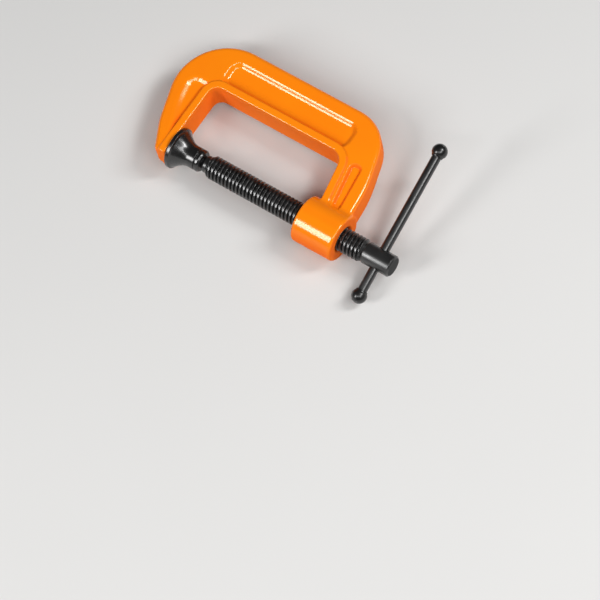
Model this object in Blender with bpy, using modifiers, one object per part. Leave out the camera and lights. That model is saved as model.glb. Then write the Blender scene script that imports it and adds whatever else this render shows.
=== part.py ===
"""Small C clamp for woodwork: cast frame, threaded screw, swivel pad and sliding handle bar.

Units are metres and +Z is up. The clamp lies on its side, closed. Lengths are measured from the
anvil: X runs along the screw from the anvil to the handle, Y runs from the screw to the spine, and
Z is square to the frame. One empty then carries the whole clamp to its place on the bench.
"""
import math

import bmesh
import bpy
from mathutils import Matrix

# Frame: the opening
JAW_GAP = 0.0635              # anvil face to boss face
THROAT_DEPTH = 0.0292         # screw axis to the spine's inner wall
ANVIL_CORNER_RADIUS = 0.004   # inside corner at the anvil end
ARM_CORNER_RADIUS = 0.006     # inside corner at the screw end
ARM_INNER_LEAN = math.radians(9.9)

# Frame: the outer edge
SPINE_WIDTH = 0.0207          # inner wall to the back of the spine
TIP_REACH = 0.0068            # jaw tip past the screw axis
TIP_WIDTH = 0.0052
TIP_RADIUS = 0.0021
JAW_LOWER_LEAN = math.radians(27.0)
JAW_UPPER_LEAN = math.radians(17.0)
JAW_BEND_HEIGHT = 0.005       # above the screw axis, where the jaw's outer edge bends
JAW_BEND_RADIUS = 0.04
CROWN_RADIUS = 0.0229         # outside corner above the jaw
SHOULDER_RADIUS = 0.018       # outside corner above the arm
ARM_UPPER_LEAN = math.radians(16.5)
ARM_LOWER_LEAN = math.radians(4.0)
ARM_BEND_HEIGHT = 0.0212      # above the screw axis, where the arm's outer edge bends
ARM_BEND_RADIUS = 0.06
ARM_SETBACK = 0.0003          # arm's outer edge inside the boss's end face

# Frame: thickness, raised band and pockets
PLATE_THICKNESS = 0.0123
PLATE_EDGE_RADIUS = 0.002
BAND_WIDTH = 0.0034           # flat band round the opening
BAND_RISE = 0.0006            # band above the plate, on each side
BAND_EDGE_RADIUS = 0.0006
POCKET_DEPTH = 0.0015         # of the jaw and arm pockets
SPINE_POCKET_DEPTH = 0.0019
POCKET_RADIUS = 0.0035
POCKET_HEEL_RADIUS = 0.0045   # corners of the spine pocket beside the band
SPINE_RIM = 0.0071            # between the spine pocket and the back
SPINE_POCKET_START = 0.0018   # in from the anvil face
SPINE_POCKET_STOP = 0.0015    # in from the boss face
JAW_POCKET_WIDTH = 0.0073     # from the band, at the pocket's top
JAW_POCKET_WAIST = 0.0046     # from the band, where the pocket starts to taper
JAW_POCKET_BOW_RADIUS = 0.03  # of the pocket's outer side, at the waist
JAW_POCKET_POINT = 0.0014     # the pocket's lower end, above the screw axis
JAW_POCKET_DROP = 0.0008      # top of the jaw pocket below the spine's inner wall
ARM_STRIP = 0.0018            # between the band and the arm pocket
ARM_RIM = 0.0051              # between the arm pocket's top and the arm's outer edge
ARM_POCKET_LEAN = math.radians(6.3)
ARM_POCKET_DROP = 0.001       # top of the arm pocket below the spine's inner wall

# Boss
BOSS_LENGTH = 0.019
BOSS_RADIUS = 0.010
BOSS_EDGE_RADIUS = 0.0007

# Screw
THREAD_RADIUS = 0.005
THREAD_PITCH = 0.00175
THREAD_DEPTH = 0.001
CREST_SHARE = 0.2             # of the pitch that is flat on the crest
ROOT_SHARE = 0.2              # of the pitch that is flat at the root
THREAD_OUTSIDE = 0.0108       # thread showing between the boss and the head
THREAD_CHAMFER = 0.0026       # run-in of the thread behind the neck
THREAD_CLEARANCE = 0.0003     # radial gap between the screw and the boss's thread
NECK_RADIUS = 0.0037
NECK_LENGTH = 0.0021          # between the pad and the thread
STEM_RADIUS = 0.0024          # inside the pad's collar
BALL_TIP_RADIUS = 0.003
HEAD_LENGTH = 0.0133
HEAD_RADIUS = 0.0046
HEAD_CHAMFER = 0.0006

# Swivel pad
PAD_LENGTH = 0.0136
PAD_RADIUS = 0.0089
PAD_RIM = 0.0016              # width of the rim's band
PAD_WAIST_RADIUS = 0.0048     # outside the ball socket
PAD_COLLAR_RADIUS = 0.0042
PAD_FLARE_END = 0.0082        # where the flare reaches the waist, from the face
PAD_BEAD_WIDTH = 0.0014
PAD_EDGE = 0.0004             # chamfer of the pad's rim and bead
PAD_GAP = 0.0003              # face to anvil with the clamp closed
SOCKET_CENTRE = 0.0068        # from the face
SOCKET_CLEARANCE = 0.0003

# Handle
BAR_RADIUS = 0.002
BAR_SPAN = 0.0655             # between the centres of the balls
BAR_SHORT_END = 0.0165        # screw axis to the centre of the lower ball
BAR_TILT = math.radians(18.2)   # the long end stands up from the frame's plane
BAR_CLEARANCE = 0.0003        # radial gap in the head
BALL_RADIUS = 0.00325
BALL_FIT_GAP = 0.0001         # radial gap between the bar and a ball's bore
BALL_LAND = 0.00015           # flat ring at each mouth of a ball's bore

# Facets
THREAD_STEPS = 16
ROUND_STEPS = 32
BAR_STEPS = 24
ARC_STEP = math.radians(13.0)
EDGE_SEGMENTS = 2
CURVE_STEPS = 8               # along a ball, a socket or a flare
SHARP_ANGLE = math.radians(35.0)
FLAT_ANGLE = math.radians(0.1)
OVERLAP = 0.001               # how far joined shapes run into each other
MERGE = 0.000001

ORANGE = (1.0, 0.23, 0.008, 1.0)
BLACK = (0.022, 0.022, 0.024, 1.0)

# Places along the screw
PAD_FACE = PAD_GAP
PAD_END = PAD_FACE + PAD_LENGTH
THREAD_START = PAD_END + NECK_LENGTH
BOSS_END = JAW_GAP + BOSS_LENGTH
HEAD_START = BOSS_END + THREAD_OUTSIDE
HEAD_END = HEAD_START + HEAD_LENGTH
HOLE_PLACE = HEAD_START + HEAD_LENGTH / 2
BALL_PLACE = PAD_FACE + SOCKET_CENTRE
BACK = THROAT_DEPTH + SPINE_WIDTH
ROOT_RADIUS = THREAD_RADIUS - THREAD_DEPTH


def clear_scene():
    for item in list(bpy.data.objects):
        bpy.data.objects.remove(item, do_unlink=True)


def new_collection(name):
    collection = bpy.data.collections.new(name)
    bpy.context.scene.collection.children.link(collection)
    return collection


def new_material(name, colour, roughness, metallic):
    material = bpy.data.materials.new(name)
    material.use_nodes = True
    shader = material.node_tree.nodes["Principled BSDF"]
    shader.inputs["Base Color"].default_value = colour
    shader.inputs["Roughness"].default_value = roughness
    shader.inputs["Metallic"].default_value = metallic
    material.diffuse_color = colour
    return material


clear_scene()
PARTS = new_collection("c_clamp")
CUTTERS = new_collection("c_clamp_cutters")
PAINT = new_material("orange_paint", ORANGE, 0.3, 0.0)
BLACK_STEEL = new_material("black_oxide_steel", BLACK, 0.35, 0.9)


def as_mesh(item):
    """Replace an object by the plain mesh that it evaluates to, with its doubles merged."""
    bpy.context.view_layer.update()
    evaluated = item.evaluated_get(bpy.context.evaluated_depsgraph_get())
    mesh = bpy.data.meshes.new_from_object(evaluated)
    shape = bmesh.new()
    shape.from_mesh(mesh)
    bmesh.ops.remove_doubles(shape, verts=shape.verts, dist=MERGE)
    bmesh.ops.recalc_face_normals(shape, faces=shape.faces)
    shape.to_mesh(mesh)
    shape.free()
    name = item.name
    bpy.data.objects.remove(item, do_unlink=True)
    mesh.name = name
    return bpy.data.objects.new(name, mesh)


def keep(item, material, parent):
    """Make an object a sub-part of the clamp; its Boolean operands go along with it."""
    PARTS.objects.link(item)
    item.data.materials.clear()
    item.data.materials.append(material)
    item.data.shade_smooth()
    item.data.set_sharp_from_angle(angle=SHARP_ANGLE)
    item.parent = parent
    for modifier in item.modifiers:
        if modifier.type == "BOOLEAN":
            modifier.object.parent = parent


def as_cutter(item):
    """Keep an object only as the other operand of a Boolean."""
    CUTTERS.objects.link(item)
    item.hide_render = True
    item.display_type = "WIRE"
    return item


def boolean(item, operation, other):
    modifier = item.modifiers.new(f"{operation.lower()}_{other.name}", "BOOLEAN")
    modifier.operation = operation
    modifier.solver = "EXACT"
    modifier.object = as_cutter(other)


def bevel(item, width, segments):
    modifier = item.modifiers.new("rounded_edges", "BEVEL")
    modifier.width = width
    modifier.segments = segments
    modifier.limit_method = "ANGLE"
    modifier.angle_limit = SHARP_ANGLE


def rounded(corners):
    """Points of a closed outline with its corners rounded; each corner is (x, y, radius)."""
    count = len(corners)
    edges = []
    for index, (x, y, _) in enumerate(corners):
        next_x, next_y, _ = corners[(index + 1) % count]
        length = math.hypot(next_x - x, next_y - y)
        edges.append(((next_x - x) / length, (next_y - y) / length, length))
    turns = []
    reaches = []
    for index, (_, _, radius) in enumerate(corners):
        before, after = edges[index - 1], edges[index]
        cross = before[0] * after[1] - before[1] * after[0]
        turn = math.atan2(cross, before[0] * after[0] + before[1] * after[1])
        turns.append(turn)
        reaches.append(radius * math.tan(abs(turn) / 2))
    points = []
    for index, (x, y, radius) in enumerate(corners):
        before, after = edges[index - 1], edges[index]
        reach, turn = reaches[index], turns[index]
        if reach < MERGE:
            points.append((x, y))
            continue
        share = min(1.0, before[2] / (reach + reaches[index - 1]),
                    after[2] / (reach + reaches[(index + 1) % count]))
        radius *= share
        reach *= share
        start = (x - before[0] * reach, y - before[1] * reach)
        side = math.copysign(radius, turn)
        centre = (start[0] - before[1] * side, start[1] + before[0] * side)
        steps = max(2, round(abs(turn) / ARC_STEP))
        for step in range(steps + 1):
            angle = turn * step / steps
            arm_x, arm_y = start[0] - centre[0], start[1] - centre[1]
            points.append((centre[0] + arm_x * math.cos(angle) - arm_y * math.sin(angle),
                           centre[1] + arm_x * math.sin(angle) + arm_y * math.cos(angle)))
    return points


def slab(name, outline, thickness, height=0.0):
    """A flat outline with a thickness, centred on a height; each side is one flat face."""
    curve = bpy.data.curves.new(name, "CURVE")
    curve.dimensions = "2D"
    curve.fill_mode = "BOTH"
    curve.extrude = thickness / 2
    spline = curve.splines.new("POLY")
    spline.points.add(len(outline) - 1)
    spline.use_cyclic_u = True
    for point, (x, y) in zip(spline.points, outline):
        point.co = (x, y, 0.0, 1.0)
    item = bpy.data.objects.new(name, curve)
    bpy.context.scene.collection.objects.link(item)
    item = as_mesh(item)
    shape = bmesh.new()
    shape.from_mesh(item.data)
    bmesh.ops.dissolve_limit(shape, angle_limit=FLAT_ANGLE, verts=shape.verts, edges=shape.edges)
    bmesh.ops.translate(shape, verts=shape.verts, vec=(0.0, 0.0, height))
    shape.to_mesh(item.data)
    shape.free()
    return item


def turned(name, profile, steps, pitch=0.0, turns=1, closed=False):
    """A profile of (place along X, radius) turned round the X axis, or wound along it as a thread."""
    mesh = bpy.data.meshes.new(name)
    shape = bmesh.new()
    points = [shape.verts.new((place, radius, 0.0)) for place, radius in profile]
    for first, second in zip(points, points[1:]):
        shape.edges.new((first, second))
    if closed:
        shape.edges.new((points[-1], points[0]))
    shape.to_mesh(mesh)
    shape.free()
    item = bpy.data.objects.new(name, mesh)
    bpy.context.scene.collection.objects.link(item)
    modifier = item.modifiers.new("turn", "SCREW")
    modifier.axis = "X"
    modifier.steps = steps
    modifier.render_steps = steps
    modifier.iterations = turns
    modifier.screw_offset = pitch
    modifier.use_merge_vertices = True
    modifier.merge_threshold = MERGE
    return as_mesh(item)


def arc(centre, radius, first, last):
    """Profile points (place, radius) of an arc about a point of the axis, between two angles."""
    angles = [first + (last - first) * step / CURVE_STEPS for step in range(CURVE_STEPS + 1)]
    return [(centre + radius * math.cos(angle), abs(radius * math.sin(angle))) for angle in angles]


def cap_ends(item):
    """Close the two open ends of a wound thread, each with a fan to the axis."""
    shape = bmesh.new()
    shape.from_mesh(item.data)
    rims = [edge for edge in shape.edges if edge.is_boundary]
    middle = sum(vert.co.x for vert in shape.verts) / len(shape.verts)
    for low_end in (True, False):
        rim = [edge for edge in rims if (edge.verts[0].co.x < middle) == low_end]
        grown = bmesh.ops.extrude_edge_only(shape, edges=rim)["geom"]
        fresh = [part for part in grown if isinstance(part, bmesh.types.BMVert)]
        place = sum(vert.co.x for vert in fresh) / len(fresh)
        bmesh.ops.pointmerge(shape, verts=fresh, merge_co=(place, 0.0, 0.0))
    bmesh.ops.recalc_face_normals(shape, faces=shape.faces)
    shape.to_mesh(item.data)
    shape.free()


def thread(name, start, end, clearance):
    """A solid right-hand thread from start to end, in one phase however long it is."""
    first = math.floor(start / THREAD_PITCH) - 1
    turns = math.ceil(end / THREAD_PITCH) + 1 - first
    crest, root = THREAD_RADIUS + clearance, ROOT_RADIUS + clearance
    flank = (1.0 - CREST_SHARE - ROOT_SHARE) / 2
    base = first * THREAD_PITCH
    places = (0.0, ROOT_SHARE, ROOT_SHARE + flank, 1.0 - flank, 1.0)
    radii = (root, root, crest, crest, root)
    profile = [(base + place * THREAD_PITCH, radius) for place, radius in zip(places, radii)]
    item = turned(name, profile, THREAD_STEPS, THREAD_PITCH, turns)
    cap_ends(item)
    return item


def arm_inner(height):
    """X of the arm's inner wall at a height above the screw axis."""
    return JAW_GAP + (THROAT_DEPTH - height) * math.tan(ARM_INNER_LEAN)


def arm_outer(height):
    """X of the arm's outer edge at a height above the screw axis, before its bend is rounded."""
    foot = BOSS_END - ARM_SETBACK
    bend = foot - ARM_BEND_HEIGHT * math.tan(ARM_LOWER_LEAN)
    if height <= ARM_BEND_HEIGHT:
        return foot - height * math.tan(ARM_LOWER_LEAN)
    return bend - (height - ARM_BEND_HEIGHT) * math.tan(ARM_UPPER_LEAN)


def jaw_outer(height):
    """X of the jaw's outer edge at a height above the screw axis, before its bend is rounded."""
    bend = -TIP_WIDTH - (JAW_BEND_HEIGHT + TIP_REACH) * math.tan(JAW_LOWER_LEAN)
    lean = JAW_UPPER_LEAN if height > JAW_BEND_HEIGHT else JAW_LOWER_LEAN
    return bend - (height - JAW_BEND_HEIGHT) * math.tan(lean)


def plate_outline():
    return rounded([
        (0.0, -TIP_REACH, TIP_RADIUS),
        (0.0, THROAT_DEPTH, ANVIL_CORNER_RADIUS),
        (arm_inner(THROAT_DEPTH), THROAT_DEPTH, ARM_CORNER_RADIUS),
        (arm_inner(0.0), 0.0, 0.0),
        (arm_outer(0.0), 0.0, 0.0),
        (arm_outer(ARM_BEND_HEIGHT), ARM_BEND_HEIGHT, ARM_BEND_RADIUS),
        (arm_outer(BACK), BACK, SHOULDER_RADIUS),
        (jaw_outer(BACK), BACK, CROWN_RADIUS),
        (jaw_outer(JAW_BEND_HEIGHT), JAW_BEND_HEIGHT, JAW_BEND_RADIUS),
        (jaw_outer(-TIP_REACH), -TIP_REACH, TIP_RADIUS),
    ])


def band_outline():
    """The strip along the opening's edge, from the jaw's tip round to the boss."""
    outer = THROAT_DEPTH + BAND_WIDTH
    slant = BAND_WIDTH / math.cos(ARM_INNER_LEAN)
    return rounded([
        (0.0, -TIP_REACH, TIP_RADIUS / 2),
        (0.0, THROAT_DEPTH, ANVIL_CORNER_RADIUS),
        (arm_inner(THROAT_DEPTH), THROAT_DEPTH, ARM_CORNER_RADIUS),
        (arm_inner(0.0), 0.0, 0.0),
        (arm_inner(0.0) + slant, 0.0, 0.0),
        (arm_inner(outer) + slant, outer, ARM_CORNER_RADIUS + BAND_WIDTH),
        (-BAND_WIDTH, outer, ANVIL_CORNER_RADIUS + BAND_WIDTH),
        (-BAND_WIDTH, -TIP_REACH, TIP_RADIUS / 2),
    ])


def pockets():
    """Outlines and depths of the spine, jaw and arm pockets; their inner sides run under the band."""
    under = BAND_WIDTH - OVERLAP
    low, high = THROAT_DEPTH + under, BACK - SPINE_RIM
    left, right = SPINE_POCKET_START, JAW_GAP - SPINE_POCKET_STOP
    spine = [(left, low, POCKET_HEEL_RADIUS), (right, low, POCKET_HEEL_RADIUS),
             (right, high, POCKET_RADIUS), (left, high, POCKET_RADIUS)]
    top = THROAT_DEPTH - JAW_POCKET_DROP
    waist = JAW_POCKET_POINT + (top - JAW_POCKET_POINT) / 2
    jaw = [(-under, JAW_POCKET_POINT, 0.0), (-under, top, 0.0),
           (-BAND_WIDTH - JAW_POCKET_WIDTH, top, POCKET_RADIUS),
           (-BAND_WIDTH - JAW_POCKET_WAIST, waist, JAW_POCKET_BOW_RADIUS)]
    top = THROAT_DEPTH - ARM_POCKET_DROP
    inset = (BAND_WIDTH + ARM_STRIP) / math.cos(ARM_INNER_LEAN)
    right = arm_outer(top) - ARM_RIM
    arm = [(arm_inner(top) + inset, top, POCKET_RADIUS / 2), (arm_inner(0.0) + inset, 0.0, 0.0),
           (right + top * math.tan(ARM_POCKET_LEAN), 0.0, 0.0), (right, top, POCKET_RADIUS / 2)]
    return {"spine": (rounded(spine), SPINE_POCKET_DEPTH), "jaw": (rounded(jaw), POCKET_DEPTH),
            "arm": (rounded(arm), POCKET_DEPTH)}


def make_frame(datum):
    """One casting: plate with pockets on both sides, raised band and threaded boss."""
    frame = slab("frame", plate_outline(), PLATE_THICKNESS)
    bevel(frame, PLATE_EDGE_RADIUS, EDGE_SEGMENTS)
    for name, (outline, depth) in pockets().items():
        cut = depth + OVERLAP
        for side in (1, -1):
            height = side * (PLATE_THICKNESS / 2 - depth + cut / 2)
            boolean(frame, "DIFFERENCE", slab(f"{name}_pocket_{side}", outline, cut, height))
    band = slab("band", band_outline(), PLATE_THICKNESS + 2 * BAND_RISE)
    bevel(band, BAND_EDGE_RADIUS, 1)
    boolean(frame, "UNION", band)
    edge = BOSS_EDGE_RADIUS
    boss = turned("boss", [(JAW_GAP, 0.0), (JAW_GAP, BOSS_RADIUS - edge), (JAW_GAP + edge, BOSS_RADIUS),
                           (BOSS_END - edge, BOSS_RADIUS), (BOSS_END, BOSS_RADIUS - edge), (BOSS_END, 0.0)],
                  ROUND_STEPS)
    boolean(frame, "UNION", boss)
    boolean(frame, "DIFFERENCE", thread("bore", JAW_GAP, BOSS_END, THREAD_CLEARANCE))
    keep(frame, PAINT, datum)


def make_screw(datum):
    """Threaded spindle with a ball tip for the pad and a plain head with a cross hole."""
    screw = thread("screw", THREAD_START, HEAD_START, 0.0)
    clear = THREAD_RADIUS + OVERLAP
    core = ROOT_RADIUS - HEAD_CHAMFER
    envelope = turned("thread_envelope", [
        (THREAD_START, 0.0), (THREAD_START, core),
        (THREAD_START + THREAD_CHAMFER + clear - THREAD_RADIUS, clear),
        (HEAD_START - HEAD_CHAMFER, clear), (HEAD_START, core),
        (HEAD_START + OVERLAP, core), (HEAD_START + OVERLAP, 0.0)], ROUND_STEPS)
    boolean(screw, "INTERSECT", envelope)
    tip = arc(BALL_PLACE, BALL_TIP_RADIUS, math.pi, math.asin(STEM_RADIUS / BALL_TIP_RADIUS))
    neck_start = PAD_END + SOCKET_CLEARANCE
    shank = turned("shank", tip + [
        (neck_start, STEM_RADIUS), (neck_start + NECK_RADIUS - STEM_RADIUS, NECK_RADIUS),
        (THREAD_START + THREAD_CHAMFER, NECK_RADIUS), (THREAD_START + THREAD_CHAMFER, 0.0)], BAR_STEPS)
    boolean(screw, "UNION", shank)
    head = turned("head", [
        (HEAD_START, 0.0), (HEAD_START, HEAD_RADIUS - HEAD_CHAMFER), (HEAD_START + HEAD_CHAMFER, HEAD_RADIUS),
        (HEAD_END - HEAD_CHAMFER, HEAD_RADIUS), (HEAD_END, HEAD_RADIUS - HEAD_CHAMFER), (HEAD_END, 0.0)],
        ROUND_STEPS)
    boolean(screw, "UNION", head)
    reach = HEAD_RADIUS + OVERLAP
    radius = BAR_RADIUS + BAR_CLEARANCE
    hole = turned("cross_hole", [(-reach, 0.0), (-reach, radius), (reach, radius), (reach, 0.0)], BAR_STEPS)
    hole.data.transform(Matrix.Rotation(math.radians(90), 4, "Z"))
    hole.location = (HOLE_PLACE, 0.0, 0.0)
    hole.rotation_euler = (BAR_TILT, 0.0, 0.0)
    boolean(screw, "DIFFERENCE", hole)
    keep(screw, BLACK_STEEL, datum)


def make_pad(datum):
    """Flared shoe whose collar is closed over the screw's ball."""
    flare_start = PAD_RIM + PAD_EDGE
    flare_radius = PAD_RADIUS - 2 * PAD_EDGE
    profile = [(0.0, 0.0), (0.0, PAD_RADIUS - PAD_EDGE), (PAD_EDGE, PAD_RADIUS), (PAD_RIM, PAD_RADIUS),
               (flare_start, flare_radius)]
    for step in range(1, CURVE_STEPS + 1):
        share = step / CURVE_STEPS
        rise = 1.0 - math.sin(share * math.pi / 2)
        profile.append((flare_start + (PAD_FLARE_END - flare_start) * share,
                        PAD_WAIST_RADIUS + (flare_radius - PAD_WAIST_RADIUS) * rise))
    bead = PAD_LENGTH - PAD_BEAD_WIDTH - 2 * PAD_EDGE
    mouth = STEM_RADIUS + SOCKET_CLEARANCE
    socket = BALL_TIP_RADIUS + SOCKET_CLEARANCE
    profile += [(bead - PAD_EDGE, PAD_WAIST_RADIUS), (bead, PAD_COLLAR_RADIUS),
                (bead + PAD_EDGE, PAD_WAIST_RADIUS), (PAD_LENGTH - 2 * PAD_EDGE, PAD_WAIST_RADIUS),
                (PAD_LENGTH, PAD_COLLAR_RADIUS), (PAD_LENGTH, mouth)]
    profile += arc(SOCKET_CENTRE, socket, math.asin(mouth / socket), math.pi)
    pad = turned("swivel_pad", profile, ROUND_STEPS)
    pad.location = (PAD_FACE, 0.0, 0.0)
    keep(pad, BLACK_STEEL, datum)


def make_handle(datum):
    """Bar that slides through the head, with a drilled ball pressed on each end."""
    mount = bpy.data.objects.new("handle_mount", None)
    PARTS.objects.link(mount)
    mount.parent = datum
    mount.location = (HOLE_PLACE, 0.0, 0.0)
    mount.rotation_euler = (BAR_TILT, 0.0, 0.0)
    upright = Matrix.Rotation(math.radians(90), 4, "Z")
    bore = BAR_RADIUS + BALL_FIT_GAP
    land = bore + BALL_LAND
    end = math.sqrt(BALL_RADIUS ** 2 - land ** 2)
    low = -BAR_SHORT_END
    high = BAR_SPAN - BAR_SHORT_END
    bar = turned("handle_bar", [(low - end, 0.0), (low - end, BAR_RADIUS), (high + end, BAR_RADIUS),
                                (high + end, 0.0)], BAR_STEPS)
    bar.data.transform(upright)
    keep(bar, BLACK_STEEL, mount)
    start = math.acos(end / BALL_RADIUS)
    ball = [(-end, bore)] + arc(0.0, BALL_RADIUS, math.pi - start, start) + [(end, bore)]
    for name, place in (("handle_ball_lower", low), ("handle_ball_upper", high)):
        item = turned(name, ball, BAR_STEPS, closed=True)
        item.data.transform(upright)
        item.location = (0.0, place, 0.0)
        keep(item, BLACK_STEEL, mount)


def make_datum():
    """Empty that puts the middle of the clamp's footprint on the bench at the origin."""
    long_end = BAR_SPAN - BAR_SHORT_END
    xs = [x for x, _ in plate_outline()] + [HEAD_END]
    high = max(BACK, long_end * math.cos(BAR_TILT) + BALL_RADIUS)
    low = min(-PAD_RADIUS, -BOSS_RADIUS, -BAR_SHORT_END * math.cos(BAR_TILT) - BALL_RADIUS)
    depth = max(BOSS_RADIUS, PAD_RADIUS, BAR_SHORT_END * math.sin(BAR_TILT) + BALL_RADIUS)
    datum = bpy.data.objects.new("clamp_datum", None)
    PARTS.objects.link(datum)
    datum.location = (-(min(xs) + max(xs)) / 2, -(high + low) / 2, depth)
    return datum


def main():
    datum = make_datum()
    make_frame(datum)
    make_screw(datum)
    make_pad(datum)
    make_handle(datum)
    bpy.context.view_layer.update()


main()
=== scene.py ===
"""Looks of a small C clamp: a glossy cast frame, a black screw, a swivel pad and a bar with ball ends.

Lengths are in metres. Inside the makers X runs along the screw from the anvil face, Y from the screw's
axis to the spine, and Z is square to the frame; settle() then carries each mesh to its place.
"""

import math

import bmesh
import bpy
import numpy as np
from bpy.props import FloatProperty, FloatVectorProperty, IntProperty, PointerProperty
from mathutils import Matrix, Vector


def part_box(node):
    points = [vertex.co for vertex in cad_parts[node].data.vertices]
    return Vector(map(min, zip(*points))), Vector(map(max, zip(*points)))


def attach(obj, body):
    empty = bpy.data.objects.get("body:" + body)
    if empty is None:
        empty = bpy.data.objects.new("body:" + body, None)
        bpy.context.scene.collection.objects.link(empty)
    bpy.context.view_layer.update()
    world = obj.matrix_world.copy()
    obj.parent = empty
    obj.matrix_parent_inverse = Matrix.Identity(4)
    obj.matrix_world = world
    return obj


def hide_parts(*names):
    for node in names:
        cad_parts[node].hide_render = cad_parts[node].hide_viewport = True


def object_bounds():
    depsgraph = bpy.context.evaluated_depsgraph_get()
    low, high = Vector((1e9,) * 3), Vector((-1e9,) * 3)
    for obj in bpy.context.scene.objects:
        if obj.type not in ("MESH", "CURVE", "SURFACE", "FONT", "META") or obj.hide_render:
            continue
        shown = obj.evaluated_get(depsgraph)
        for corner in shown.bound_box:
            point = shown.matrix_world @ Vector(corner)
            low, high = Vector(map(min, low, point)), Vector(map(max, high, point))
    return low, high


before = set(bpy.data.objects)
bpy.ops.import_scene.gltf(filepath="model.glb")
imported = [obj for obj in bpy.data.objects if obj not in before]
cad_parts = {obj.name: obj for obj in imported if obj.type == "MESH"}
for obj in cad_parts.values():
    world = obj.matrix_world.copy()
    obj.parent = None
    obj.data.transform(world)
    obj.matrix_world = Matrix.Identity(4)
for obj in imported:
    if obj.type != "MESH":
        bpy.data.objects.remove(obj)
CAD_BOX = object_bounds()

bl_info = {
    "name": "C Clamp",
    "version": (1, 0, 0),
    "blender": (4, 5, 0),
    "location": "View3D > Sidebar > Clamp",
    "description": "Builds the finished surfaces of a small C clamp round its solids",
    "category": "Object",
}

# Places read from the solids
FRAME_LOW, FRAME_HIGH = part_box("frame")
PAD_LOW, PAD_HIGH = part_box("swivel_pad")
SCREW_LOW, SCREW_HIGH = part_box("screw")
UPPER_LOW, UPPER_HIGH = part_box("handle_ball_upper")
LOWER_LOW, LOWER_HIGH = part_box("handle_ball_lower")
PAD_GAP = 0.0003
ANVIL = Vector((PAD_LOW[0] - PAD_GAP, (PAD_LOW[1] + PAD_HIGH[1]) / 2, (PAD_LOW[2] + PAD_HIGH[2]) / 2))
UPPER_BALL = (Vector(UPPER_LOW) + Vector(UPPER_HIGH)) / 2 - ANVIL
LOWER_BALL = (Vector(LOWER_LOW) + Vector(LOWER_HIGH)) / 2 - ANVIL
BOSS_END = FRAME_HIGH[0] - ANVIL.x
BOSS_RADIUS = (FRAME_HIGH[2] - FRAME_LOW[2]) / 2
BACK = FRAME_HIGH[1] - ANVIL.y
PAD_LENGTH = PAD_HIGH[0] - PAD_LOW[0]
PAD_RADIUS = (PAD_HIGH[2] - PAD_LOW[2]) / 2
THREAD_RADIUS = (SCREW_HIGH[2] - SCREW_LOW[2]) / 2
BALL_TIP_START = SCREW_LOW[0] - ANVIL.x
HEAD_END = SCREW_HIGH[0] - ANVIL.x
BALL_RADIUS = (UPPER_HIGH[0] - UPPER_LOW[0]) / 2
HOLE_PLACE = UPPER_BALL.x

# Fineness of the meshes
ARC_STEP = math.radians(6.0)      # between points on a rounded corner
TURN_STEPS = 112                  # round the pad, the head and the tip
BALL_TURN_STEPS = 80
BALL_ARC_STEPS = 32
BAR_TURN_STEPS = 64               # round the bar and the hole for it
FLARE_STEPS = 24
FILLET_STEPS = 8
FLOOR_STEPS = 8
SHARP_ANGLE = math.radians(40.0)  # sharper edges keep their crease
LEAST_STEPS = 3                   # on any rounded corner
TINY = 0.000001                   # closer points are one point

SENSOR_WIDTH = 36.0               # of the camera, in millimetres
CLIP_NEAR = 0.01
CLIP_FAR = 20.0


def length(name, default, description):
    """A property for a length in metres."""
    return FloatProperty(name=name, description=description, default=default, min=0.0, precision=5,
                         subtype="DISTANCE", unit="LENGTH")


def angle(name, degrees, description):
    """A property for an angle."""
    return FloatProperty(name=name, description=description, default=math.radians(degrees),
                         subtype="ANGLE", unit="ROTATION")


def share(name, default, description):
    """A property for a number from none to all."""
    return FloatProperty(name=name, description=description, default=default, min=0.0, max=1.0,
                         subtype="FACTOR")


def colour(name, default, description):
    """A property for a colour."""
    return FloatVectorProperty(name=name, description=description, default=default, size=4,
                               min=0.0, max=1.0, subtype="COLOR")


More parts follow.
